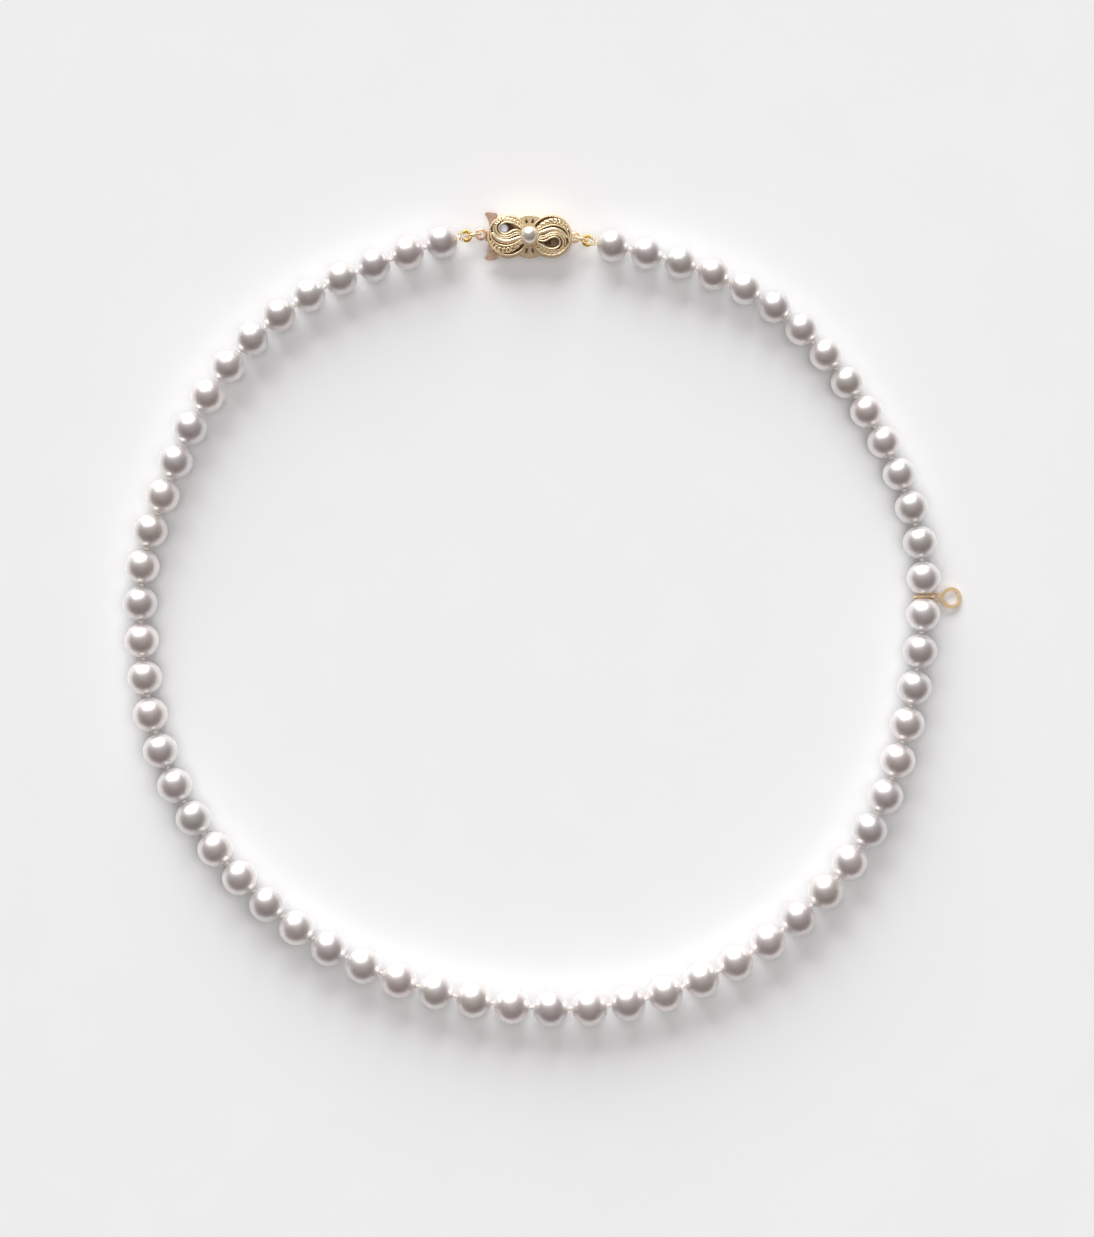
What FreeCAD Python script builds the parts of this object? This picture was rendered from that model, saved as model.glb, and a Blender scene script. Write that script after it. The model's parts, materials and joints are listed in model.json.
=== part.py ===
import FreeCAD, Part
import math
import os

# An 18 inch string of knotted pearls, closed and lying on a flat surface at z = 0.
# Millimetres, +Z up. The origin is the middle of the necklace's outline, on that surface.

V = FreeCAD.Vector
up = V(0, 0, 1)

# Pearls and the silk that they are knotted on. The strand is graded: pearl number, diameter
pearl_count = 63
graded_pearls = [(1, 6.0), (10, 6.0), (20, 6.5), (32, 6.75), (44, 6.5), (63, 6.1)]
segment_pearls = 4
bore_radius = 0.40
silk_radius = 0.25
knot_radius = 0.45
hinge_gap = 0.02
table_gap = 0.012

# The lie of the strand, clockwise from beside the clasp's box to beside its tongue
lie_shift = V(0.74, 0.74, 0)
route_points = [
    (9, 69.5), (18.5, 67.5), (42.5, 57.5), (59.5, 38), (69.5, 14), (68.5, -13.5), (60, -40.5),
    (40.5, -61.5), (14, -72.5), (-15, -71.5), (-41, -62), (-62, -43.5), (-74, -18.5), (-75.5, -4.5),
    (-75.5, 9.5), (-71.5, 22.5), (-66.5, 35), (-50, 56), (-26, 67.5), (-16.5, 70.5),
]

# Findings at the two ends
gimp_loop_radius = 0.85
gimp_radius = 0.40
gimp_bore = 0.28
gimp_open_half_angle = 35
gimp_reach = 1.45
gimp_height = 2.60
jump_wire = 0.21

# The clasp, measured from its own centre
clasp_centre = V(-2.5, 71.42, 0)
lobe_offset = 4.0
bow_radius = 3.9
back_thickness = 0.5
wall_radius = 3.55
wall_thickness = 0.40
top_plate_bottom = 2.85
top_plate_top = 3.15
lobe_base_radius = 3.75
lobe_rise = 1.35
lobe_thickness = 0.45
eye_place = (-4.7, 1.4)
eye_radius = 0.8
setting_radius = 1.95
setting_top = 4.1
clasp_pearl_radius = 1.6
clasp_pearl_height = 5.1
peg_radius = 0.30
keeper_left = -6.6
keeper_right = -6.2
slot_half_width = 1.95
slot_bottom = 1.0
slot_top = 2.45
tongue_half_width = 1.7
tongue_bottom = 1.20
tongue_top = 1.45
leaf_bottom = 1.95
leaf_top = 2.20
leaf_half_width = 1.5
leaf_hinge_x = 1.95
shoulder_top = 2.75
tongue_ring_place = V(-9.1, 0.4, 1.5)
tongue_ring_radius = 0.85
tongue_ring_wire = 0.30
box_ring_place = V(8.40, -0.2, 1.6)
box_ring_radius = 0.80
box_ring_wire = 0.25
ring_slack = 0.12

# The charm, hung round the silk after the fifteenth pearl
charm_after = 15
bail_radius = 1.85
bail_wire = 0.25
bail_tilt = 6.5
bail_hang = 0.79
charm_hook_angle = 24.0
charm_ring_radius = 0.85
charm_ring_wire = 0.18
charm_hook = 0.35
charm_slope = 10.6
drop_radius = 2.0
drop_centre = 3.2
drop_tip = 0.8
drop_frame = 0.62
drop_thickness = 0.6


def pearlRadius(i):
    """Pearl i of 1 to 63: small beside the clasp, largest at the front."""
    for (first, small), (last, large) in zip(graded_pearls, graded_pearls[1:]):
        if first <= i <= last:
            return (small + (large - small) * (i - first) / (last - first)) / 2


def knotPoints():
    """The 64 points on the silk: before the first pearl, between pearls, and after the last."""
    curve = Part.BSplineCurve()
    curve.interpolate([V(x, y, 0) + lie_shift for x, y in route_points])
    length = curve.length()
    pearls = sum(2 * pearlRadius(i) for i in range(1, pearl_count + 1))
    gap = (length - pearls) / pearl_count
    points = []
    along = 0.0
    for i in range(pearl_count + 1):
        spot = curve.value(curve.parameterAtDistance(along))
        beside = [pearlRadius(k) for k in (i, i + 1) if 1 <= k <= pearl_count]
        height = sum(beside) / len(beside) + table_gap
        points.append(V(spot.x, spot.y, height))
        if i < pearl_count:
            along += 2 * pearlRadius(i + 1) + gap
    return points


def unit(vector):
    result = V(vector)
    result.normalize()
    return result


def rod(start, end, radius):
    return Part.makeCylinder(radius, (end - start).Length, start, end - start)


def ring(centre, axis, radius, wire):
    return Part.makeTorus(radius, wire, centre, axis)


def block(x0, x1, y0, y1, z0, z1):
    return Part.makeBox(x1 - x0, y1 - y0, z1 - z0, V(x0, y0, z0))


def joined(shapes):
    return shapes[0].fuse(shapes[1:]).removeSplitter()


def pearl(i, knots):
    before = knots[i - 1]
    after = knots[i]
    centre = (before + after) * 0.5
    ball = Part.makeSphere(pearlRadius(i), centre, after - before)
    return ball.cut(rod(before, after, bore_radius))


def segmentPearls(number):
    """The first and last pearl of a rigid length of the strand."""
    first = (number - 1) * segment_pearls + 1
    return first, min(first + segment_pearls - 1, pearl_count)


def pearlGroup(number, knots):
    first, last = segmentPearls(number)
    return Part.makeCompound([pearl(i, knots) for i in range(first, last + 1)])


def gimpCentre(knot, far):
    """The middle of a gimp loop, level with the link that it holds."""
    away = V(far.x - knot.x, far.y - knot.y, 0)
    spot = knot + unit(away) * gimp_reach
    return V(spot.x, spot.y, gimp_height)


def gimpAxis(centre, knot):
    toward = unit(knot - centre)
    across = unit(up.cross(toward))
    return unit(toward.cross(across))


def gimpLoop(centre, knot):
    """Hollow coil bent into a horseshoe, open toward its pearl."""
    span = 360 - 2 * gimp_open_half_angle
    outer = Part.makeTorus(gimp_loop_radius, gimp_radius, V(), up, 0, 360, span)
    inner = Part.makeTorus(gimp_loop_radius, gimp_bore, V(), up, 0, 360, span)
    loop = outer.cut(inner)
    loop.rotate(V(), up, gimp_open_half_angle)
    toward = unit(knot - centre)
    axis = gimpAxis(centre, knot)
    turn = FreeCAD.Rotation(toward, unit(axis.cross(toward)), axis, "ZXY")
    return loop.transformGeometry(FreeCAD.Placement(centre, turn).toMatrix())


def silkLoop(centre, knot):
    """The silk inside a gimp loop, and its stem to the pearl."""
    axis = gimpAxis(centre, knot)
    loop = ring(centre, axis, gimp_loop_radius, silk_radius)
    edge = centre + unit(knot - centre) * gimp_loop_radius
    return [loop, rod(edge, knot, silk_radius), Part.makeSphere(silk_radius, knot)]


def silk(number, knots, start_gimp, end_gimp):
    """Silk through a segment's pearls, with the knots that belong to it."""
    first, last = segmentPearls(number)
    pieces = []
    for i in range(first, last + 1):
        before = knots[i - 1]
        after = knots[i]
        if i == first and number > 1:
            before = before + unit(after - before) * (knot_radius + hinge_gap)
        pieces.append(rod(before, after, silk_radius))
        if i < pearl_count:
            pieces.append(Part.makeSphere(knot_radius, after, after - before))
    if number == 1:
        pieces += silkLoop(start_gimp, knots[0])
    if last == pearl_count:
        pieces += silkLoop(end_gimp, knots[pearl_count])
    return pieces[0].fuse(pieces[1:])


def jumpRing(one, other):
    """A round link that hooks both points with its wire."""
    along = other - one
    axis = unit(along.cross(up))
    return ring((one + other) * 0.5, axis, along.Length / 2, jump_wire)


def bow(radius, bottom, top):
    """The bow outline: two lobes and the middle disc."""
    places = (-lobe_offset, 0, lobe_offset)
    return joined([Part.makeCylinder(radius, top - bottom, V(x, 0, bottom)) for x in places])


def clasped(shape):
    """A clasp piece moved from the clasp's centre to its place in the necklace."""
    placed = shape.copy()
    placed.translate(clasp_centre)
    return placed


def claspBack():
    return bow(bow_radius, 0, back_thickness)


def claspWall():
    outer = bow(wall_radius, back_thickness, top_plate_bottom)
    inner = bow(wall_radius - wall_thickness, back_thickness, top_plate_bottom)
    mouth = block(-wall_radius - lobe_offset - 1, keeper_right, -4, 4, 0, top_plate_top)
    return outer.cut(inner).cut(mouth)


def claspKeeper():
    """The end frame, whose slot the tongue snaps into."""
    frame = block(keeper_left, keeper_right, -4, 4, back_thickness, top_plate_bottom)
    frame = frame.common(bow(wall_radius, back_thickness, top_plate_bottom))
    slot = block(keeper_left - 1, keeper_right + 1, -slot_half_width, slot_half_width,
                 slot_bottom, slot_top)
    return frame.cut(slot)


def claspTopPlate():
    """The plate under the lobes, pierced by rays beside the pearl and a hole under each lobe."""
    plate = bow(bow_radius, top_plate_bottom, top_plate_top)
    for angle in (52, 78, 102, 128, 232, 258, 282, 308):
        ray = block(2.35, 3.35, -0.22, 0.22, 2, 4)
        ray.rotate(V(), up, angle)
        plate = plate.cut(ray)
    for x in (-lobe_offset - 0.4, lobe_offset + 0.4):
        plate = plate.cut(Part.makeCylinder(2.2, 4, V(x, 0, 1)))
    return plate


def crescent(radius, width, start, span):
    """A curved slot round the lobe's eye."""
    x, y = eye_place
    outer = Part.makeCylinder(radius + width / 2, 6, V(x, y, 2), up, span)
    inner = Part.makeCylinder(radius - width / 2, 6, V(x, y, 2), up, span)
    slot = outer.cut(inner)
    slot.rotate(V(x, y, 0), up, start)
    return slot


def lobe(turn):
    """One domed, pierced half of the bow; the other is the same piece turned half round."""
    ball = (lobe_base_radius ** 2 + lobe_rise ** 2) / (2 * lobe_rise)
    middle = V(-lobe_offset, 0, top_plate_top + lobe_rise - ball)
    dome = Part.makeSphere(ball, middle).cut(Part.makeSphere(ball - lobe_thickness, middle))
    dome = dome.common(Part.makeCylinder(lobe_base_radius, 3, V(-lobe_offset, 0, top_plate_top)))
    dome = dome.cut(Part.makeCylinder(setting_radius + 0.05, 6, V(0, 0, 0)))
    dome = dome.cut(Part.makeCylinder(eye_radius, 6, V(eye_place[0], eye_place[1], 2)))
    for radius, width, start, span in ((1.45, 0.3, 200, 130), (2.35, 0.3, 235, 100), (1.6, 0.3, 340, 50)):
        dome = dome.cut(crescent(radius, width, start, span))
    dome.rotate(V(), up, turn)
    return dome


def pearlSetting():
    """The cup and peg that hold the clasp's pearl."""
    cup = Part.makeCylinder(setting_radius, setting_top - top_plate_top, V(0, 0, top_plate_top))
    cup = cup.cut(Part.makeSphere(clasp_pearl_radius + 0.02, V(0, 0, clasp_pearl_height)))
    return cup.fuse(Part.makeCylinder(peg_radius, 1.4, V(0, 0, top_plate_top))).removeSplitter()


def claspPearl():
    ball = Part.makeSphere(clasp_pearl_radius, V(0, 0, clasp_pearl_height))
    return ball.cut(Part.makeCylinder(peg_radius + 0.03, 1.6, V(0, 0, top_plate_top)))


def boxRing():
    loop = ring(box_ring_place, up, box_ring_radius, box_ring_wire)
    return loop.cut(bow(wall_radius, back_thickness, top_plate_bottom))


def tongueRing():
    return ring(tongue_ring_place, up, tongue_ring_radius, tongue_ring_wire)


def tongueLeaf():
    """The strip that slides into the box: lower leaf, tab to its ring, and the fold's upturned end."""
    inside = block(keeper_left - 0.1, leaf_hinge_x + 0.5, -tongue_half_width, tongue_half_width,
                   tongue_bottom, tongue_top)
    tab = block(tongue_ring_place.x + 0.9, keeper_left, -0.8, 1.0, tongue_bottom, tongue_top)
    fold = block(leaf_hinge_x + 0.25, leaf_hinge_x + 0.5, -leaf_half_width, leaf_half_width,
                 tongue_bottom, leaf_top)
    return joined([inside, tab, fold]).cut(tongueRing())


def thumbPlateFace():
    """One side of the fish-tail thumb plate, from the neck out to its wing tip."""
    line = Part.LineSegment
    arc = Part.Arc
    z = leaf_bottom
    corner = [
        V(-6.95, 0, z), V(-6.95, 2.70, z), V(-6.0, 3.36, z), V(-6.05, 4.25, z),
        V(-7.9, 4.50, z), V(-8.35, 4.0, z), V(-7.55, 1.75, z), V(-7.55, 0, z),
    ]
    edges = [
        line(corner[0], corner[1]),
        arc(corner[1], V(-6.52, 3.0, z), corner[2]),
        line(corner[2], corner[3]),
        arc(corner[3], V(-6.9, 4.42, z), corner[4]),
        arc(corner[4], V(-8.22, 4.35, z), corner[5]),
        arc(corner[5], V(-7.72, 2.95, z), corner[6]),
        line(corner[6], corner[7]),
        line(corner[7], corner[0]),
    ]
    return Part.Face(Part.Wire([edge.toShape() for edge in edges]))


def springLeaf():
    """The upper leaf with its locking shoulders and the winged thumb plate outside the box."""
    strip = block(-7.2, leaf_hinge_x, -leaf_half_width, leaf_half_width, leaf_bottom, leaf_top)
    shoulders = block(-6.05, -5.45, -leaf_half_width, leaf_half_width, leaf_top, shoulder_top)
    end_radius = (leaf_top - leaf_bottom) / 2
    end_low = V(leaf_hinge_x, -leaf_half_width, leaf_bottom + end_radius)
    rolled_end = Part.makeCylinder(end_radius, 2 * leaf_half_width, end_low, V(0, 1, 0))
    wing = thumbPlateFace().extrude(V(0, 0, leaf_top - leaf_bottom))
    other_wing = wing.mirror(V(), V(0, 1, 0))
    return joined([strip, shoulders, rolled_end, wing, other_wing])


def charmFrame(knots):
    """Directions at the charm: along the strand, outward from the loop, and the bail's own upright."""
    spot = knots[charm_after]
    along = unit(V(knots[charm_after + 1].x - knots[charm_after - 1].x,
                   knots[charm_after + 1].y - knots[charm_after - 1].y, 0))
    outward = unit(along.cross(up)) * -1
    tilt = math.radians(bail_tilt)
    upright = up * math.cos(tilt) - along * math.sin(tilt)
    centre = spot + up * bail_hang - upright * bail_radius
    return spot, along, outward, upright, centre


def charmBail(knots):
    spot, along, outward, upright, centre = charmFrame(knots)
    return ring(centre, outward.cross(upright), bail_radius, bail_wire)


def charmPlacement(knots):
    """The charm's own frame: X down its slope, Z out of its face, origin in its ring."""
    spot, along, outward, upright, centre = charmFrame(knots)
    slope = math.radians(charm_slope)
    down = outward * math.cos(slope) - up * math.sin(slope)
    face = up * math.cos(slope) + outward * math.sin(slope)
    low = math.radians(charm_hook_angle)
    hook = centre + (outward * math.cos(low) - upright * math.sin(low)) * bail_radius
    turn = FreeCAD.Rotation(down, unit(face.cross(down)), face, "ZXY")
    return FreeCAD.Placement(hook + down * charm_hook, turn)


def charmRing(knots):
    place = charmPlacement(knots)
    return ring(place.Base, place.Rotation.multVec(up), charm_ring_radius, charm_ring_wire)


def teardrop(radius, tip):
    """A teardrop plate: a round end and two tangent sides that meet at its tip."""
    reach = drop_centre - tip
    lean = math.asin(radius / reach)
    touch_x = drop_centre - radius * math.sin(lean)
    touch_y = radius * math.cos(lean)
    low = -drop_thickness / 2
    point = V(tip, 0, low)
    left = V(touch_x, touch_y, low)
    right = V(touch_x, -touch_y, low)
    edges = [
        Part.LineSegment(point, left),
        Part.Arc(left, V(drop_centre + radius, 0, low), right),
        Part.LineSegment(right, point),
    ]
    face = Part.Face(Part.Wire([edge.toShape() for edge in edges]))
    return face.extrude(V(0, 0, drop_thickness))


def charmDrop(knots):
    """An open teardrop frame soldered to the charm's ring."""
    inner_tip = drop_tip + drop_frame * (drop_centre - drop_tip) / drop_radius
    frame = teardrop(drop_radius, drop_tip).cut(teardrop(drop_radius - drop_frame, inner_tip))
    frame = frame.cut(Part.makeTorus(charm_ring_radius, charm_ring_wire))
    return frame.transformGeometry(charmPlacement(knots).toMatrix())


def linkPoints(knots):
    """Where the wire of each jump ring passes through what it links."""
    tongue_ring = clasp_centre + tongue_ring_place
    box_ring = clasp_centre + box_ring_place
    left_gimp = gimpCentre(knots[pearl_count], tongue_ring)
    right_gimp = gimpCentre(knots[0], box_ring)
    hooks = []
    for soldered, gimp in ((tongue_ring, left_gimp), (box_ring, right_gimp)):
        toward = V(gimp.x - soldered.x, gimp.y - soldered.y, 0)
        hooks.append(soldered + unit(toward) * ring_slack)
    return left_gimp, right_gimp, hooks[0], hooks[1]


def subparts():
    """Every node's name and shape."""
    knots = knotPoints()
    left_gimp, right_gimp, tongue_hook, box_hook = linkPoints(knots)
    parts = {
        "clasp_back_plate": clasped(claspBack()),
        "clasp_wall": clasped(claspWall()),
        "clasp_keeper": clasped(claspKeeper()),
        "clasp_top_plate": clasped(claspTopPlate()),
        "clasp_left_lobe": clasped(lobe(0)),
        "clasp_right_lobe": clasped(lobe(180)),
        "clasp_pearl_setting": clasped(pearlSetting()),
        "clasp_pearl": clasped(claspPearl()),
        "clasp_box_ring": clasped(boxRing()),
        "tongue_leaf": clasped(tongueLeaf()),
        "tongue_ring": clasped(tongueRing()),
        "spring_leaf": clasped(springLeaf()),
        "left_jump_ring": jumpRing(tongue_hook, left_gimp),
        "right_jump_ring": jumpRing(box_hook, right_gimp),
        "left_gimp": gimpLoop(left_gimp, knots[pearl_count]),
        "right_gimp": gimpLoop(right_gimp, knots[0]),
        "charm_bail": charmBail(knots),
        "charm_ring": charmRing(knots),
        "charm_drop": charmDrop(knots),
    }
    for number in range(1, math.ceil(pearl_count / segment_pearls) + 1):
        parts["pearls_%02d" % number] = pearlGroup(number, knots)
        parts["silk_%02d" % number] = silk(number, knots, right_gimp, left_gimp)
    return parts


def main():
    os.makedirs("parts", exist_ok=True)
    for name, shape in subparts().items():
        shape.exportStep("parts/%s.step" % name)
    print("necklace written")


if __name__ == "__main__":
    main()
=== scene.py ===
import bpy
import bmesh
import json
import math
import random
import numpy as np
from mathutils import Matrix, Vector


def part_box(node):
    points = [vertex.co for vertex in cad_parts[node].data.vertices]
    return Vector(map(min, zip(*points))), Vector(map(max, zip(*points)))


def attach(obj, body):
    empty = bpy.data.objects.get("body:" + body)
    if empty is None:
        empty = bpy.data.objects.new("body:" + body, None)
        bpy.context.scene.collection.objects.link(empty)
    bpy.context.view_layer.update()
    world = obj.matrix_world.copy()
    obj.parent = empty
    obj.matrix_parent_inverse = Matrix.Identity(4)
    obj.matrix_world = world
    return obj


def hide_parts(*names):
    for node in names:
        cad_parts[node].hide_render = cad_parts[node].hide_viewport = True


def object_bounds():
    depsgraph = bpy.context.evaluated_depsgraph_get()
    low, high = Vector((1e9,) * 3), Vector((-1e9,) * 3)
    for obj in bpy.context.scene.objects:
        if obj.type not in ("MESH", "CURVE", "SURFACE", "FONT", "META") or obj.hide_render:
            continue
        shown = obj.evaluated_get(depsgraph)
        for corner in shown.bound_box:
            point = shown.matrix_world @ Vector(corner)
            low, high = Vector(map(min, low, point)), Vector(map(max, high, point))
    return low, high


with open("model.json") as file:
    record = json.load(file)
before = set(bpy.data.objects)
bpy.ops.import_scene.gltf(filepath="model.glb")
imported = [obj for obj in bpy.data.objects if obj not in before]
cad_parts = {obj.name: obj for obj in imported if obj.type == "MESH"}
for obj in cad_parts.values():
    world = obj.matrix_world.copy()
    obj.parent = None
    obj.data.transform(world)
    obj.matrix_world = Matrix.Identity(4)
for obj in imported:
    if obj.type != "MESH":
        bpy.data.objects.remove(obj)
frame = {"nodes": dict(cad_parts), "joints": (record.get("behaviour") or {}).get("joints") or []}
cadBox = [list(corner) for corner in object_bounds()]
nodes = frame["nodes"]
mm = 0.001


# helpers

def boxCentre(name):
    low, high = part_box(name)
    return (Vector(low) + Vector(high)) / 2


def selectOnly(obj):
    bpy.ops.object.select_all(action="DESELECT")
    obj.select_set(True)
    bpy.context.view_layer.objects.active = obj


def tidyMesh(obj, smoothAngle=None):
    selectOnly(obj)
    bpy.ops.object.mode_set(mode="EDIT")
    bpy.ops.mesh.select_all(action="SELECT")
    bpy.ops.mesh.remove_doubles(threshold=1e-7)
    bpy.ops.mesh.normals_make_consistent(inside=False)
    bpy.ops.object.mode_set(mode="OBJECT")
    if smoothAngle is None:
        bpy.ops.object.shade_smooth()
    else:
        bpy.ops.object.shade_smooth_by_angle(angle=math.radians(smoothAngle))


def placed(obj, matrix):
    obj.data.transform(matrix)
    obj.data.update()


def finished(obj, name, body, material, slotName, *stands):
    obj.name = name
    obj.data.name = name
    obj.data.materials.clear()
    obj.data.materials.append(material)
    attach(obj, body)
    if stands:
        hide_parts(*stands)


def copyOf(master):
    selectOnly(master)
    bpy.ops.object.duplicate(linked=False)
    return bpy.context.view_layer.objects.active


def alignMatrix(centre, axis, size=1.0):  # a master's X axis turned to lie along axis
    turn = Vector((1, 0, 0)).rotation_difference(axis.normalized()).to_matrix().to_4x4()
    return Matrix.Translation(centre) @ turn @ Matrix.Scale(size, 4)


def smoothLine(points, count):  # Catmull-Rom through the points
    p = np.array(points, float)
    p = np.vstack([2 * p[0] - p[1], p, 2 * p[-1] - p[-2]])
    t = np.linspace(0, len(p) - 3, count)
    i = np.minimum(t.astype(int), len(p) - 4)
    f = (t - i)[:, None]
    a, b, c, d = p[i], p[i + 1], p[i + 2], p[i + 3]
    square = (2 * a - 5 * b + 4 * c - d) * f ** 2
    cube = (3 * b - a - 3 * c + d) * f ** 3
    return 0.5 * (2 * b + (c - a) * f + square + cube)


def tubeMesh(name, path, radius, sides, closed=False):
    curve = bpy.data.curves.new(name, "CURVE")
    curve.dimensions = "3D"
    curve.bevel_depth = radius
    curve.bevel_resolution = max(0, sides // 4 - 1)
    curve.use_fill_caps = not closed
    spline = curve.splines.new("POLY")
    spline.points.add(len(path) - 1)
    for point, spot in zip(spline.points, path):
        point.co = (spot[0], spot[1], spot[2], 1)
    spline.use_cyclic_u = closed
    obj = bpy.data.objects.new(name, curve)
    bpy.context.scene.collection.objects.link(obj)
    selectOnly(obj)
    bpy.ops.object.convert(target="MESH")
    tube = bpy.context.view_layer.objects.active
    tidyMesh(tube)
    return tube


def joinAll(objs):
    bpy.ops.object.select_all(action="DESELECT")
    for obj in objs:
        obj.select_set(True)
    bpy.context.view_layer.objects.active = objs[0]
    bpy.ops.object.join()
    return objs[0]


# materials

def newMaterial(name):
    material = bpy.data.materials.new(name)
    material.use_nodes = True
    tree = material.node_tree
    return material, tree, tree.nodes["Principled BSDF"]


def addNode(tree, kind, **values):
    node = tree.nodes.new(kind)
    for key, value in values.items():
        if key in node.inputs:
            node.inputs[key].default_value = value
        else:
            setattr(node, key, value)
    return node


def rampNode(tree, factor, stops):
    ramp = tree.nodes.new("ShaderNodeValToRGB")
    tree.links.new(factor, ramp.inputs["Fac"])
    while len(ramp.color_ramp.elements) < len(stops):
        ramp.color_ramp.elements.new(0.5)
    for element, (position, colour) in zip(ramp.color_ramp.elements, stops):
        element.position = position
        element.color = (*colour, 1)
    return ramp.outputs["Color"]


def bumpInto(tree, shader, height, strength, distance):
    bump = addNode(tree, "ShaderNodeBump", Strength=strength, Distance=distance)
    tree.links.new(height, bump.inputs["Height"])
    tree.links.new(bump.outputs["Normal"], shader.inputs["Normal"])


pearlLook = {
    "deep": (0.875, 0.835, 0.82),
    "pale": (0.945, 0.915, 0.905),
    "metallic": 0.76,
    "roughness": 0.41,
    "coat": 0.7,
    "coatRoughness": 0.34,
    "sheen": 0.8,
    "cloudScale": 420.0,
    "skinScale": 1500.0,
    "skinDepth": 0.02 * mm,
}


def pearlMaterial(name, look):
    material, tree, shader = newMaterial(name)
    place = addNode(tree, "ShaderNodeTexCoord")
    cloud = addNode(tree, "ShaderNodeTexNoise", Scale=look["cloudScale"], Detail=4.0, Roughness=0.5)
    tree.links.new(place.outputs["Object"], cloud.inputs["Vector"])
    colour = rampNode(tree, cloud.outputs["Fac"], [(0.3, look["deep"]), (0.7, look["pale"])])
    tint = addNode(tree, "ShaderNodeAttribute", attribute_name="tint")
    mix = addNode(tree, "ShaderNodeMix", data_type="RGBA", blend_type="MULTIPLY")
    mix.inputs[0].default_value = 1.0
    tree.links.new(colour, mix.inputs[6])
    tree.links.new(tint.outputs["Color"], mix.inputs[7])
    tree.links.new(mix.outputs[2], shader.inputs["Base Color"])
    shader.inputs["Roughness"].default_value = look["roughness"]
    shader.inputs["IOR"].default_value = 1.6
    shader.inputs["Coat Weight"].default_value = look["coat"]
    shader.inputs["Coat Roughness"].default_value = look["coatRoughness"]
    shader.inputs["Coat IOR"].default_value = 1.55
    shader.inputs["Metallic"].default_value = look["metallic"]
    shader.inputs["Sheen Weight"].default_value = look["sheen"]
    shader.inputs["Sheen Roughness"].default_value = 0.30
    skin = addNode(tree, "ShaderNodeTexNoise", Scale=look["skinScale"], Detail=3.0, Roughness=0.55)
    tree.links.new(place.outputs["Object"], skin.inputs["Vector"])
    bumpInto(tree, shader, skin.outputs["Fac"], 0.12, look["skinDepth"])
    return material


goldLooks = {
    "paleGold": {
        "deep": (0.92, 0.71, 0.43),
        "bright": (1.0, 0.84, 0.57),
        "roughness": 0.20,
        "metallic": 0.54,
    },
    "engravedGold": {
        "deep": (0.95, 0.75, 0.46),
        "bright": (1.0, 0.87, 0.61),
        "roughness": 0.20,
        "metallic": 0.52,
        # painted shade: ramp that darkens the low relief between the ribs
        "grooveShade": [(0.04, (0.11, 0.06, 0.03)), (0.17, (0.52, 0.39, 0.27)), (0.34, (1, 1, 1))],
    },
    "charmGold": {
        "deep": (1.0, 0.70, 0.38),
        "bright": (1.0, 0.80, 0.50),
        "roughness": 0.16,
        "metallic": 0.40,
    },
    "roseGold": {
        "deep": (0.82, 0.56, 0.42),
        "bright": (0.92, 0.69, 0.54),
        "roughness": 0.28,
        "metallic": 0.62,
    },
    "richGold": {
        "deep": (0.90, 0.62, 0.18),
        "bright": (0.99, 0.77, 0.32),
        "roughness": 0.24,
        "metallic": 0.74,
    },
}
scratchLook = {"scale": 2600.0, "stretch": (1.0, 7.0, 3.0), "strength": 0.18, "depth": 0.02 * mm}


def goldMaterial(name):
    look = goldLooks[name]
    material, tree, shader = newMaterial(name)
    place = addNode(tree, "ShaderNodeTexCoord")
    patch = addNode(tree, "ShaderNodeTexNoise", Scale=900.0, Detail=3.0)
    tree.links.new(place.outputs["Object"], patch.inputs["Vector"])
    colour = rampNode(tree, patch.outputs["Fac"], [(0.35, look["deep"]), (0.65, look["bright"])])
    if "grooveShade" in look:  # painted shade: the low parts between the ribs are darkened as if in shadow
        depth = addNode(tree, "ShaderNodeAttribute", attribute_name="relief")
        shade = rampNode(tree, depth.outputs["Fac"], look["grooveShade"])
        mix = addNode(tree, "ShaderNodeMix", data_type="RGBA", blend_type="MULTIPLY")
        mix.inputs[0].default_value = 1.0
        tree.links.new(colour, mix.inputs[6])
        tree.links.new(shade, mix.inputs[7])
        colour = mix.outputs[2]
    tree.links.new(colour, shader.inputs["Base Color"])
    shader.inputs["Metallic"].default_value = look["metallic"]
    spread = addNode(tree, "ShaderNodeMapRange")
    spread.inputs["To Min"].default_value = look["roughness"] * 0.7
    spread.inputs["To Max"].default_value = look["roughness"] * 1.4
    tree.links.new(patch.outputs["Fac"], spread.inputs["Value"])
    tree.links.new(spread.outputs["Result"], shader.inputs["Roughness"])
    stretch = addNode(tree, "ShaderNodeMapping", Scale=scratchLook["stretch"])
    tree.links.new(place.outputs["Object"], stretch.inputs["Vector"])
    scratch = addNode(tree, "ShaderNodeTexNoise", Scale=scratchLook["scale"], Detail=5.0, Roughness=0.65)
    tree.links.new(stretch.outputs["Vector"], scratch.inputs["Vector"])
    bumpInto(tree, shader, scratch.outputs["Fac"], scratchLook["strength"], scratchLook["depth"])
    return material


silkLook = {
    "deep": (0.84, 0.79, 0.69),
    "pale": (0.98, 0.95, 0.89),
    "roughness": 0.55,
    "sheen": 0.5,
    "fibreScale": 2400.0,
    "fibreDepth": 0.03 * mm,
}


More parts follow.
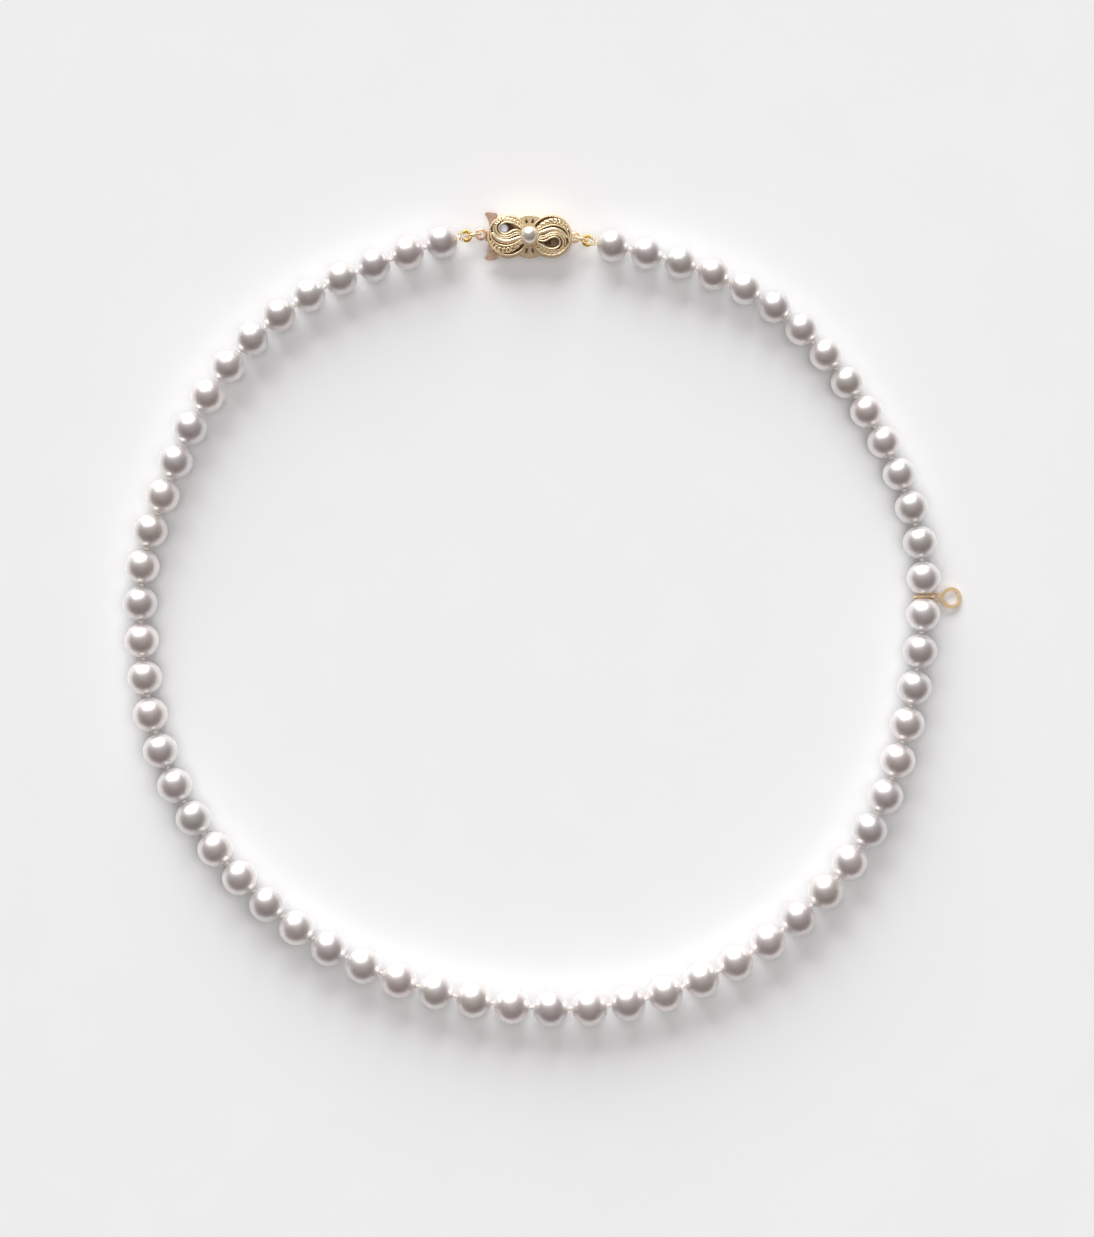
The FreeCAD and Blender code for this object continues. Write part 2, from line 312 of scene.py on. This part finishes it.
def silkMaterial(look):
    material, tree, shader = newMaterial("silkThread")
    place = addNode(tree, "ShaderNodeTexCoord")
    fibre = addNode(tree, "ShaderNodeTexWave", Scale=look["fibreScale"], Distortion=3.0, Detail=2.0)
    tree.links.new(place.outputs["Object"], fibre.inputs["Vector"])
    colour = rampNode(tree, fibre.outputs["Fac"], [(0.0, look["deep"]), (1.0, look["pale"])])
    tree.links.new(colour, shader.inputs["Base Color"])
    shader.inputs["Roughness"].default_value = look["roughness"]
    shader.inputs["Sheen Weight"].default_value = look["sheen"]
    bumpInto(tree, shader, fibre.outputs["Fac"], 0.5, look["fibreDepth"])
    return material


nacre = pearlMaterial("nacre", pearlLook)
# painted light: nacre without metal, for the bright patch in the left lobe's eye
lightPatchNacre = pearlMaterial("lightPatchNacre", {**pearlLook, "metallic": 0.0})
paleGold = goldMaterial("paleGold")
engravedGold = goldMaterial("engravedGold")
charmGold = goldMaterial("charmGold")
roseGold = goldMaterial("roseGold")
richGold = goldMaterial("richGold")
silkThread = silkMaterial(silkLook)
print("materials ready")


# strand: where its pearls and knots are

def nodePearls(name):  # centre and radius of each pearl of a node
    mesh = bmesh.new()
    mesh.from_mesh(nodes[name].data)
    bmesh.ops.remove_doubles(mesh, verts=mesh.verts, dist=1e-7)
    left = set(mesh.verts)
    found = []
    while left:
        stack = [left.pop()]
        group = []
        while stack:
            vert = stack.pop()
            group.append(vert.co.copy())
            for edge in vert.link_edges:
                other = edge.other_vert(vert)
                if other in left:
                    left.remove(other)
                    stack.append(other)
        spots = np.array(group)
        centre = Vector((spots.min(0) + spots.max(0)) / 2)
        radius = (spots[:, 2].max() - spots[:, 2].min()) / 2
        found.append((centre, radius))
    mesh.free()
    return found


def strandPearls():  # centre, radius and body of each pearl, in order from the box to the tongue
    found = []
    last = boxCentre("right_gimp")
    for number in range(1, 17):
        left = nodePearls("pearls_%02d" % number)
        while left:
            left.sort(key=lambda entry: (entry[0] - last).length)
            centre, radius = left.pop(0)
            found.append((centre, radius, "strand_%02d" % number))
            last = centre
    return found


def knotSpots(pearls):
    spots = []
    for (one, r1, _), (two, r2, _) in zip(pearls, pearls[1:]):
        gap = (two - one).length - r1 - r2
        spots.append(one + (two - one).normalized() * (r1 + gap / 2))
    first = spots[0] + (pearls[0][0] - spots[0]) * 2
    last = spots[-1] + (pearls[-1][0] - spots[-1]) * 2
    return [first] + spots + [last]


pearls = strandPearls()
knots = knotSpots(pearls)
print("strand read:", len(pearls), "pearls")


# pearls

pearlShape = {
    "segments": 64,
    "rings": 44,
    "holeRadius": 0.38 * mm,
    "holeSteps": ((0.03, 0.90), (0.35, 0.88)),  # depth in pearl radii, and width in hole radii
    "seed": 7,
}


def pearlMaster(shape):
    bpy.ops.mesh.primitive_uv_sphere_add(segments=shape["segments"], ring_count=shape["rings"], radius=1)
    obj = bpy.context.view_layer.objects.active
    bpy.ops.transform.rotate(value=math.radians(90), orient_axis="Y", center_override=(0, 0, 0))
    bpy.ops.object.transform_apply(location=False, rotation=True, scale=False)
    return obj


def drilled(obj, radius, shape):  # opens both poles into a short drilled hole
    mesh = bmesh.new()
    mesh.from_mesh(obj.data)
    hole = shape["holeRadius"] / radius
    caps = [v for v in mesh.verts if math.hypot(v.co.y, v.co.z) < hole * 0.5]
    bmesh.ops.delete(mesh, geom=caps, context="VERTS")
    rims = [e for e in mesh.edges if e.is_boundary]
    for vert in {v for e in rims for v in e.verts}:
        flat = math.hypot(vert.co.y, vert.co.z)
        vert.co.y *= hole / flat
        vert.co.z *= hole / flat
        vert.co.x = math.copysign(math.sqrt(1 - hole ** 2), vert.co.x)
    for depth, width in shape["holeSteps"]:
        made = bmesh.ops.extrude_edge_only(mesh, edges=rims)["geom"]
        rims = [g for g in made if isinstance(g, bmesh.types.BMEdge) and g.is_boundary]
        for vert in {g for g in made if isinstance(g, bmesh.types.BMVert)}:
            flat = math.hypot(vert.co.y, vert.co.z)
            vert.co.y *= hole * width / flat
            vert.co.z *= hole * width / flat
            vert.co.x -= math.copysign(depth, vert.co.x)
    mesh.to_mesh(obj.data)
    mesh.free()


def pearlTint(rng):
    base = 1 + rng.uniform(-0.05, 0.05)
    rose = rng.uniform(-0.018, 0.022)
    green = rng.uniform(-0.015, 0.012)
    return (min(base + rose, 1.08), min(base + green, 1.05), base - rose * 0.4, 1)


def paintTint(obj, colour):
    layer = obj.data.color_attributes.new(name="tint", type="FLOAT_COLOR", domain="POINT")
    layer.data.foreach_set("color", np.tile(colour, len(obj.data.vertices)))


def makePearls():
    rng = random.Random(pearlShape["seed"])
    master = pearlMaster(pearlShape)
    for index, (centre, radius, body) in enumerate(pearls):
        obj = copyOf(master)
        drilled(obj, radius, pearlShape)
        stretch = Matrix.Diagonal((1 - rng.uniform(0, 0.006), 1 - rng.uniform(0, 0.004), 1, 1))
        turn = Matrix.Rotation(rng.uniform(0, 6.28), 4, "X")
        along = knots[index + 1] - knots[index]
        placed(obj, alignMatrix(centre, along, radius) @ stretch @ turn)
        tidyMesh(obj)
        paintTint(obj, pearlTint(rng))
        finished(obj, "pearl_%02d" % (index + 1), body, nacre, "pearl", "pearls_" + body[-2:])
    bpy.data.objects.remove(master)


makePearls()
print("pearls made")


# silk cord and knots

silkShape = {
    "plyRadius": 0.115 * mm,
    "plyOffset": 0.12 * mm,
    "pitch": 1.1 * mm,
    "step": 0.28 * mm,
    "knotRadius": 0.30 * mm,
    "knotThread": 0.165 * mm,
    "knotSteps": 60,
    "knotLength": 0.42,
    "knotSwell": 0.28,
    "knotWidth": 0.78,
    "seed": 11,
}


def pliedCord(name, spots, shape):  # three plies twisted along straight runs
    plies = []
    for ply in range(3):
        path = []
        travelled = 0.0
        for start, end in zip(spots, spots[1:]):
            along = (end - start).normalized()
            side = along.cross(Vector((0, 0, 1))).normalized()
            lift = side.cross(along)
            steps = max(2, int((end - start).length / shape["step"]))
            for step in range(steps):
                spot = start.lerp(end, step / steps)
                angle = 2 * math.pi * ((travelled + (spot - start).length) / shape["pitch"] + ply / 3)
                swing = side * math.cos(angle) + lift * math.sin(angle)
                path.append(spot + swing * shape["plyOffset"])
            travelled += (end - start).length
        plies.append(tubeMesh(name + "Ply", path, shape["plyRadius"], 8))
    return joinAll(plies)


def knotMaster(shape):  # an overhand knot pulled tight: a trefoil drawn along the cord
    path = []
    for step in range(shape["knotSteps"]):
        t = 2 * math.pi * step / shape["knotSteps"]
        along = shape["knotRadius"] * shape["knotLength"] * math.sin(3 * t)
        reach = shape["knotRadius"] * (1 + shape["knotSwell"] * math.cos(3 * t)) * shape["knotWidth"]
        path.append(Vector((along, reach * math.cos(2 * t), reach * math.sin(2 * t))))
    return tubeMesh("knotMaster", path, shape["knotThread"], 8, closed=True)


def makeSilk():
    master = knotMaster(silkShape)
    rng = random.Random(silkShape["seed"])
    for number in range(1, 17):
        body = "strand_%02d" % number
        first = (number - 1) * 4
        last = min(first + 4, 63)
        spots = list(knots[first:last + 1])
        spots[0] = spots[0].lerp(spots[1], 0.06)
        if number == 16:
            spots.append(boxCentre("left_gimp").lerp(knots[63], 0.45))
        if number == 1:
            spots.insert(0, boxCentre("right_gimp").lerp(knots[0], 0.45))
        cord = pliedCord("silk", spots, silkShape)
        finished(cord, "silkCord_%02d" % number, body, silkThread, "silk", "silk_%02d" % number)
        for index in range(first + 1, min(last, 62) + 1):
            knot = copyOf(master)
            along = knots[index + 1] - knots[index - 1]
            spin = Matrix.Rotation(rng.uniform(0, 6.28), 4, "X")
            placed(knot, alignMatrix(knots[index], along, rng.uniform(0.94, 1.06)) @ spin)
            finished(knot, "knot_%02d" % index, body, silkThread, "silk", "silk_%02d" % number)
    bpy.data.objects.remove(master)


makeSilk()
print("silk and knots made")


# gimp: coiled wire over the silk loops

gimpShape = {
    "coilRadius": 0.30 * mm,
    "wire": 0.085 * mm,
    "loopRadius": 0.85 * mm,
    "turns": 31,
    "turnSteps": 12,
    "halfOpen": 52,
    "arcSteps": 12,
    "endSpread": 0.33,
    "endBack": 0.02,
}


def makeGimp(name, body, node, knot, link):
    centre = Vector(link)
    toward = (knot - centre).normalized()
    across = Vector((0, 0, 1)).cross(toward).normalized()
    normal = toward.cross(across)
    spread = across * gimpShape["endSpread"] * mm
    back = toward * gimpShape["endBack"] * mm
    spine = [knot + spread - back]
    for step in range(gimpShape["arcSteps"] + 1):
        opening = gimpShape["halfOpen"]
        angle = math.radians(opening + (360 - 2 * opening) * step / gimpShape["arcSteps"])
        outward = toward * math.cos(angle) + across * math.sin(angle)
        spine.append(centre + outward * gimpShape["loopRadius"])
    spine.append(knot - spread - back)
    count = gimpShape["turns"] * gimpShape["turnSteps"]
    spine = smoothLine(spine, count + 1)
    along = np.gradient(spine, axis=0)
    path = []
    for step in range(count + 1):
        side = normal.cross(Vector(along[step])).normalized()
        twist = 2 * math.pi * gimpShape["turns"] * step / count
        swing = side * math.cos(twist) + normal * math.sin(twist)
        path.append(Vector(spine[step]) + swing * gimpShape["coilRadius"])
    coil = tubeMesh(name, path, gimpShape["wire"], 8)
    finished(coil, name, body, richGold, "gimp_gold", node)


def jointSpot(name):
    return next(joint["pos_m"] for joint in frame["joints"] if joint["name"] == name)


makeGimp("gimpCoil_right", "strand_01", "right_gimp", knots[0], jointSpot("strand_open"))
makeGimp("gimpCoil_left", "strand_16", "left_gimp", knots[63], jointSpot("left_link_turn"))
print("gimp made")


# metal parts that keep their CAD shape, with merged and softened edges

def softened(node, name, body, material, slotName, bevel, smoothAngle=35):
    obj = nodes[node].copy()
    obj.data = nodes[node].data.copy()
    for key in list(obj.keys()):
        del obj[key]
    obj.parent = None
    bpy.context.scene.collection.objects.link(obj)
    tidyMesh(obj, smoothAngle)
    selectOnly(obj)
    if bevel:
        bpy.ops.object.modifier_add(type="BEVEL")
        edge = obj.modifiers[-1]
        edge.width = bevel * mm
        edge.segments = 3
        edge.limit_method = "ANGLE"
        edge.angle_limit = math.radians(50)
        edge.use_clamp_overlap = True
        bpy.ops.object.modifier_apply(modifier=edge.name)
        bpy.ops.object.shade_smooth_by_angle(angle=math.radians(smoothAngle))
    finished(obj, name, body, material, slotName, node)


claspPieces = [
    ("clasp_back_plate", "claspBack", "clasp_box", paleGold, "clasp_gold", 0.10),
    ("clasp_wall", "claspWall", "clasp_box", paleGold, "clasp_gold", 0.04),
    ("clasp_keeper", "claspKeeper", "clasp_box", paleGold, "clasp_gold", 0.04),
    ("clasp_top_plate", "claspRays", "clasp_box", paleGold, "clasp_gold", 0.07),
    ("clasp_pearl_setting", "pearlCup", "clasp_box", paleGold, "clasp_gold", 0.08),
    ("clasp_box_ring", "boxRing", "clasp_box", paleGold, "clasp_gold", 0),
    ("tongue_leaf", "tongueLeaf", "tongue", roseGold, "tongue_gold", 0.05),
    ("tongue_ring", "tongueRing", "tongue", roseGold, "tongue_gold", 0),
    ("spring_leaf", "springLeaf", "spring_leaf_body", roseGold, "tongue_gold", 0.06),
    ("left_jump_ring", "jumpRing_left", "left_link", paleGold, "clasp_gold", 0),
    ("right_jump_ring", "jumpRing_right", "right_link", paleGold, "clasp_gold", 0),
    ("charm_bail", "charmBail", "bail", charmGold, "clasp_gold", 0),
    ("charm_ring", "charmRing", "charm", charmGold, "clasp_gold", 0),
    ("charm_drop", "charmDrop", "charm", charmGold, "clasp_gold", 0.24),
]
for piece in claspPieces:
    softened(*piece)
print("clasp, link and charm metal made")


# bow lobes: a domed sheet with raised ribs and pierced gaps

claspMiddle = boxCentre("clasp_pearl")
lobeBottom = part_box("clasp_left_lobe")[0][2]
lobeShape = {
    "radius": 3.82,
    "rise": 0.95,
    "thickness": 0.34,
    "cells": 190,
    "offset": 4.0,
    "inner": 1.75,
    "rimAt": 0.955,
    "rimHalf": 0.045,
    "rimRise": 0.36,
    "leafWidth": 0.5,
    "veins": 52,
    "slotLong": 0.30,
    "slotWide": 0.10,
}

# the left lobe's lines, in millimetres from the clasp's middle
# each rib has a half width and a height, and each gap a half width
lobeRibs = [
    ([(-1.2, 1.15), (-2.5, 1.95), (-3.6, 2.42), (-4.6, 2.45), (-5.4, 2.0), (-5.72, 1.3)], 0.22, 0.34),
    ([(-1.2, 0.75), (-2.4, 1.05), (-3.2, 0.85), (-3.9, 0.45), (-4.7, 0.28), (-5.4, 0.6), (-5.72, 1.3)],
     0.22, 0.34),
    ([(-1.2, 0.5), (-2.5, 0.55), (-3.5, 0.1), (-4.6, -0.15), (-5.6, 0.1), (-6.2, 0.9), (-6.2, 1.9),
      (-5.6, 2.6)], 0.20, 0.30),
    ([(-1.2, 0.25), (-2.6, 0.1), (-3.9, -0.45), (-5.1, -0.5), (-6.1, 0.0), (-6.65, 0.9), (-6.6, 1.9)],
     0.18, 0.26),
    ([(-1.2, -0.15), (-2.7, -0.75), (-4.3, -1.15), (-5.8, -0.75), (-6.9, 0.25)], 0.42, 0.30),
    ([(-1.2, -0.55), (-2.8, -1.55), (-4.5, -1.95), (-6.1, -1.5), (-7.15, -0.4), (-7.3, 0.9)], 0.20, 0.36),
    ([(-1.3, -1.05), (-2.9, -2.3), (-4.6, -2.75), (-6.1, -2.3), (-7.0, -1.3)], 0.52, 0.28),
    ([(-1.2, 1.6), (-2.4, 2.55), (-3.8, 3.0), (-5.3, 3.05), (-6.4, 2.5)], 0.55, 0.28),
]
lobeGaps = [
    ([(-2.2, 1.42), (-3.1, 1.78), (-4.0, 2.02)], 0.17),
    ([(-6.95, 0.75), (-7.0, 1.3), (-6.85, 1.9)], 0.12),
    ([(-5.9, 0.95), (-6.0, 1.5), (-5.8, 2.0)], 0.09),
]
leafCuts = [
    (-2.55, -2.05),
    (-3.2, -2.45),
    (-3.9, -2.72),
    (-4.6, -2.82),
    (-5.3, -2.68),
    (-6.0, -2.3),
    (-6.6, -1.7),
]
eye = {"x": -4.75, "y": 1.30, "radius": 0.80}


def distanceTo(line, spots):  # distance to the line, and how far along it the nearest point is
    apart = np.linalg.norm(spots[:, None, :] - line[None, :, :], axis=2)
    nearest = apart.argmin(1)
    return apart.min(1), nearest / (len(line) - 1)


def lobeHeights(flat):
    radial = np.hypot(flat[:, 0] + lobeShape["offset"], flat[:, 1]) / lobeShape["radius"]
    height = lobeShape["rise"] * np.sqrt(np.clip(1 - radial ** 2, 0, 1)) * 0.8
    ribs = np.zeros(len(flat))
    for points, width, rise in lobeRibs:
        apart, along = distanceTo(smoothLine(points, 90), flat)
        taper = 0.55 + 0.45 * np.sin(np.pi * np.clip(along, 0.02, 0.98))
        share = np.clip(apart / (width * (0.6 + 0.4 * taper)), 0, 1)
        bell = np.cos(share * np.pi / 2) ** 0.65
        if width > lobeShape["leafWidth"]:  # leaf veins are cut across the outer bands
            vein = 0.5 + 0.5 * np.sin(along * lobeShape["veins"] + apart * 7)
            bell = bell ** 0.5 * (1 - 0.75 * vein ** 3)
        ribs = np.maximum(ribs, rise * taper * bell)
    share = np.clip(np.abs(radial - lobeShape["rimAt"]) / lobeShape["rimHalf"], 0, 1)
    rim = np.cos(share * np.pi / 2) ** 0.65
    ribs = np.maximum(ribs, lobeShape["rimRise"] * rim)
    return height + ribs, ribs / lobeShape["rimRise"]


def insideGap(flat):
    inside = np.hypot(flat[:, 0] - eye["x"], flat[:, 1] - eye["y"]) < eye["radius"]
    for points, width in lobeGaps:
        apart, along = distanceTo(smoothLine(points, 60), flat)
        inside |= apart < width * np.sqrt(np.clip(1 - (2 * along - 1) ** 4, 0.05, 1))
    for x, y in leafCuts:  # slanted slots along the lower leaf
        lean = math.atan2(y, x + lobeShape["offset"]) + 0.9
        long = (flat[:, 0] - x) * math.cos(lean) + (flat[:, 1] - y) * math.sin(lean)
        wide = -(flat[:, 0] - x) * math.sin(lean) + (flat[:, 1] - y) * math.cos(lean)
        inside |= (long / lobeShape["slotLong"]) ** 2 + (wide / lobeShape["slotWide"]) ** 2 < 1
    return inside | (np.hypot(flat[:, 0], flat[:, 1]) < lobeShape["inner"])


def makeLobe(name, node, degrees):  # the right lobe is the left one turned half round
    cells = lobeShape["cells"]
    bpy.ops.mesh.primitive_grid_add(x_subdivisions=cells, y_subdivisions=cells, size=2)
    obj = bpy.context.view_layer.objects.active
    spots = np.empty(len(obj.data.vertices) * 3)
    obj.data.vertices.foreach_get("co", spots)
    spots = spots.reshape(-1, 3)
    u = spots[:, 0].copy()
    v = spots[:, 1].copy()
    spots[:, 0] = u * np.sqrt(1 - v ** 2 / 2) * lobeShape["radius"] - lobeShape["offset"]
    spots[:, 1] = v * np.sqrt(1 - u ** 2 / 2) * lobeShape["radius"]
    spots[:, 2], relief = lobeHeights(spots[:, :2])
    # relief height; the low relief gets painted shade in engravedGold
    layer = obj.data.attributes.new(name="relief", type="FLOAT", domain="POINT")
    layer.data.foreach_set("value", np.clip(relief, 0, 1))
    gone = insideGap(spots[:, :2])
    obj.data.vertices.foreach_set("co", spots.ravel())
    mesh = bmesh.new()
    mesh.from_mesh(obj.data)
    mesh.verts.ensure_lookup_table()
    bmesh.ops.delete(mesh, geom=[mesh.verts[i] for i in np.flatnonzero(gone)], context="VERTS")
    reach = lobeShape["radius"] * 0.985
    edge = [v for v in mesh.verts if v.is_boundary]
    edge = [v for v in edge if math.hypot(v.co.x + lobeShape["offset"], v.co.y) < reach]
    for _ in range(4):  # rounds the steps that the grid leaves along each gap
        bmesh.ops.smooth_vert(
            mesh, verts=edge, factor=0.5, use_axis_x=True, use_axis_y=True, use_axis_z=True)
    mesh.to_mesh(obj.data)
    mesh.free()
    selectOnly(obj)
    bpy.ops.object.modifier_add(type="SOLIDIFY")
    obj.modifiers[-1].thickness = lobeShape["thickness"]
    obj.modifiers[-1].offset = -1
    bpy.ops.object.modifier_apply(modifier=obj.modifiers[-1].name)
    lift = Matrix.Translation((claspMiddle.x, claspMiddle.y, lobeBottom + lobeShape["thickness"] * mm))
    turn = Matrix.Rotation(math.radians(degrees), 4, "Z")
    placed(obj, lift @ turn @ Matrix.Scale(mm, 4))
    tidyMesh(obj, 60)
    finished(obj, name, "clasp_box", engravedGold, "clasp_gold", node)


makeLobe("bowLobe_left", "clasp_left_lobe", 0)
makeLobe("bowLobe_right", "clasp_right_lobe", 180)


# painted light: the tint lifts the dome above white and towards blue
eyeLightPatch = {"reach": 0.95 * mm, "rise": 0.5 * mm, "tint": (1.05, 1.10, 1.22, 1)}


def makeEyeLightPatch():  # painted light: a small pale bluish dome, tinted brighter than white, stands in for the bright patch in the left lobe's eye
    bpy.ops.mesh.primitive_uv_sphere_add(segments=40, ring_count=20, radius=1)
    obj = bpy.context.view_layer.objects.active
    x = claspMiddle.x + eye["x"] * mm
    y = claspMiddle.y + eye["y"] * mm
    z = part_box("clasp_top_plate")[1][2]
    size = Matrix.Diagonal((eyeLightPatch["reach"], eyeLightPatch["reach"], eyeLightPatch["rise"], 1))
    placed(obj, Matrix.Translation((x, y, z)) @ size)
    tidyMesh(obj)
    paintTint(obj, eyeLightPatch["tint"])
    finished(obj, "eyeLightPatch", "clasp_box", lightPatchNacre, "pearl")


makeEyeLightPatch()
print("bow lobes made")


# clasp pearl

claspPearl = {"segments": 64, "rings": 44, "stretch": (0.985, 0.99, 1, 1), "tint": (1.12, 1.10, 1.02, 1)}


def makeClaspPearl():
    low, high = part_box("clasp_pearl")
    radius = (high[0] - low[0]) / 2
    bpy.ops.mesh.primitive_uv_sphere_add(
        segments=claspPearl["segments"], ring_count=claspPearl["rings"], radius=radius)
    obj = bpy.context.view_layer.objects.active
    lift = Matrix.Translation((claspMiddle.x, claspMiddle.y, high[2] - radius))
    placed(obj, lift @ Matrix.Diagonal(claspPearl["stretch"]))
    tidyMesh(obj)
    paintTint(obj, claspPearl["tint"])
    finished(obj, "claspPearl", "clasp_box", nacre, "pearl", "clasp_pearl")


makeClaspPearl()
print("clasp pearl made")


# floor, light and camera

floorLook = {
    "pale": (0.81, 0.81, 0.815),
    "deep": (0.795, 0.795, 0.80),
    "grainScale": 60.0,
    "roughness": 0.8,
    "specular": 0.1,
    "size": 1.6,
    "gap": 0.02 * mm,
}
lightLooks = [
    {
        "name": "keySoftbox",
        "location": (-1.96, 9.20, 4.40),
        "size": (9.0, 6.8),
        "energy": 1520.0,
        "colour": (0.98, 0.995, 1.0),
        "seenInGloss": True,
    },
    {
        "name": "overheadFill",
        "location": (0.1, -0.1, 1.5),
        "size": (1.4, 1.4),
        "energy": 14.6,
        "colour": (0.955, 0.985, 1.0),
        "seenInGloss": False,
    },
]
worldLook = {"colour": (0.70, 0.44, 0.35), "strength": 0.145}
cameraLook = {
    "x": 0.74 * mm,
    "y": 0.14 * mm,
    "height": 0.8,
    "levelHeight": 3.2 * mm,  # at this height the frame spans acrossTall from top to bottom
    "acrossTall": 230.45 * mm,
    "sensor": 36,
}


def makeFloor():
    height = cadBox[0][2] - floorLook["gap"]
    bpy.ops.mesh.primitive_plane_add(size=floorLook["size"], location=(0, 0, height))
    floor = bpy.context.view_layer.objects.active
    floor.name = "paperFloor"
    material, tree, shader = newMaterial("paper")
    place = addNode(tree, "ShaderNodeTexCoord")
    grain = addNode(tree, "ShaderNodeTexNoise", Scale=floorLook["grainScale"], Detail=6.0)
    tree.links.new(place.outputs["Object"], grain.inputs["Vector"])
    colour = rampNode(tree, grain.outputs["Fac"], [(0.2, floorLook["deep"]), (0.8, floorLook["pale"])])
    tree.links.new(colour, shader.inputs["Base Color"])
    shader.inputs["Roughness"].default_value = floorLook["roughness"]
    shader.inputs["Specular IOR Level"].default_value = floorLook["specular"]
    floor.data.materials.append(material)


def makeLight(look):  # a flat light that faces the middle of the floor
    bpy.ops.object.light_add(type="AREA", location=look["location"])
    light = bpy.context.view_layer.objects.active
    light.name = look["name"]
    light.data.shape = "RECTANGLE"
    light.data.size = look["size"][0]
    light.data.size_y = look["size"][1]
    light.data.energy = look["energy"]
    light.data.color = look["colour"]
    light.visible_glossy = look["seenInGloss"]
    light.rotation_euler = (-Vector(look["location"])).to_track_quat("-Z", "Y").to_euler()


def makeWorld(look):
    world = bpy.data.worlds.new("studio")
    bpy.context.scene.world = world
    world.use_nodes = True
    background = world.node_tree.nodes["Background"]
    background.inputs["Color"].default_value = (*look["colour"], 1)
    background.inputs["Strength"].default_value = look["strength"]


def makeCamera(look):  # looks straight down
    bpy.ops.object.camera_add(location=(look["x"], look["y"], look["height"]), rotation=(0, 0, 0))
    camera = bpy.context.view_layer.objects.active
    camera.data.sensor_width = look["sensor"]
    camera.data.lens = look["sensor"] * (look["height"] - look["levelHeight"]) / look["acrossTall"]
    camera.data.clip_start = 0.01
    bpy.context.scene.camera = camera


makeFloor()
for lightLook in lightLooks:
    makeLight(lightLook)
makeWorld(worldLook)
makeCamera(cameraLook)
bpy.context.scene.view_settings.view_transform = "Standard"
print("floor, light and camera set")
